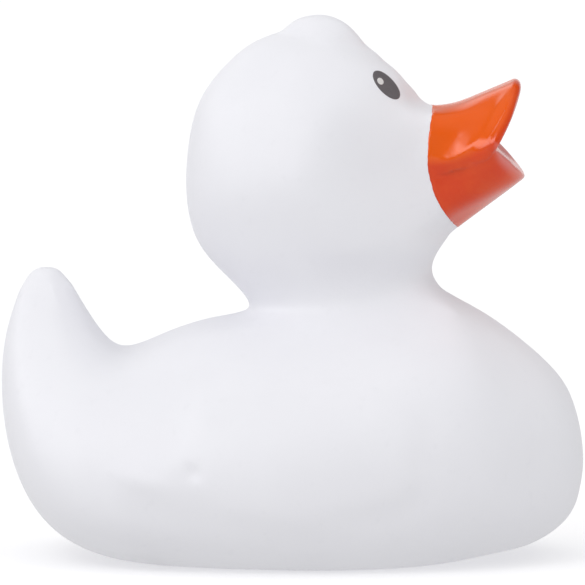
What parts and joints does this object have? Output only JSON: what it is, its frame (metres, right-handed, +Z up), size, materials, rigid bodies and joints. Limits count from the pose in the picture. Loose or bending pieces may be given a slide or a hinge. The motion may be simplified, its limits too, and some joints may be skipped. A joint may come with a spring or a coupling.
{
  "type": "duck stress toy",
  "caption": "Soft squeezable duck with an open orange bill, an upturned tail, faint wings and a flat underside that it stands on.",
  "frame": {"origin": "centre of the duck's box at the height of its flat underside, on the surface it stands on", "axes": "+X towards the bill, +Y towards the duck's left side, +Z up"},
  "size_m": [0.0849, 0.0676, 0.0792],
  "materials": {
    "soft_white": "matte skin of soft foam",
    "bill_paint": "semi-gloss paint",
    "eye_paint": "satin print",
    "eye_glint": "satin print"
  },
  "bodies": {
    "root": {"duck": "soft_white"}
  },
  "joints": []
}
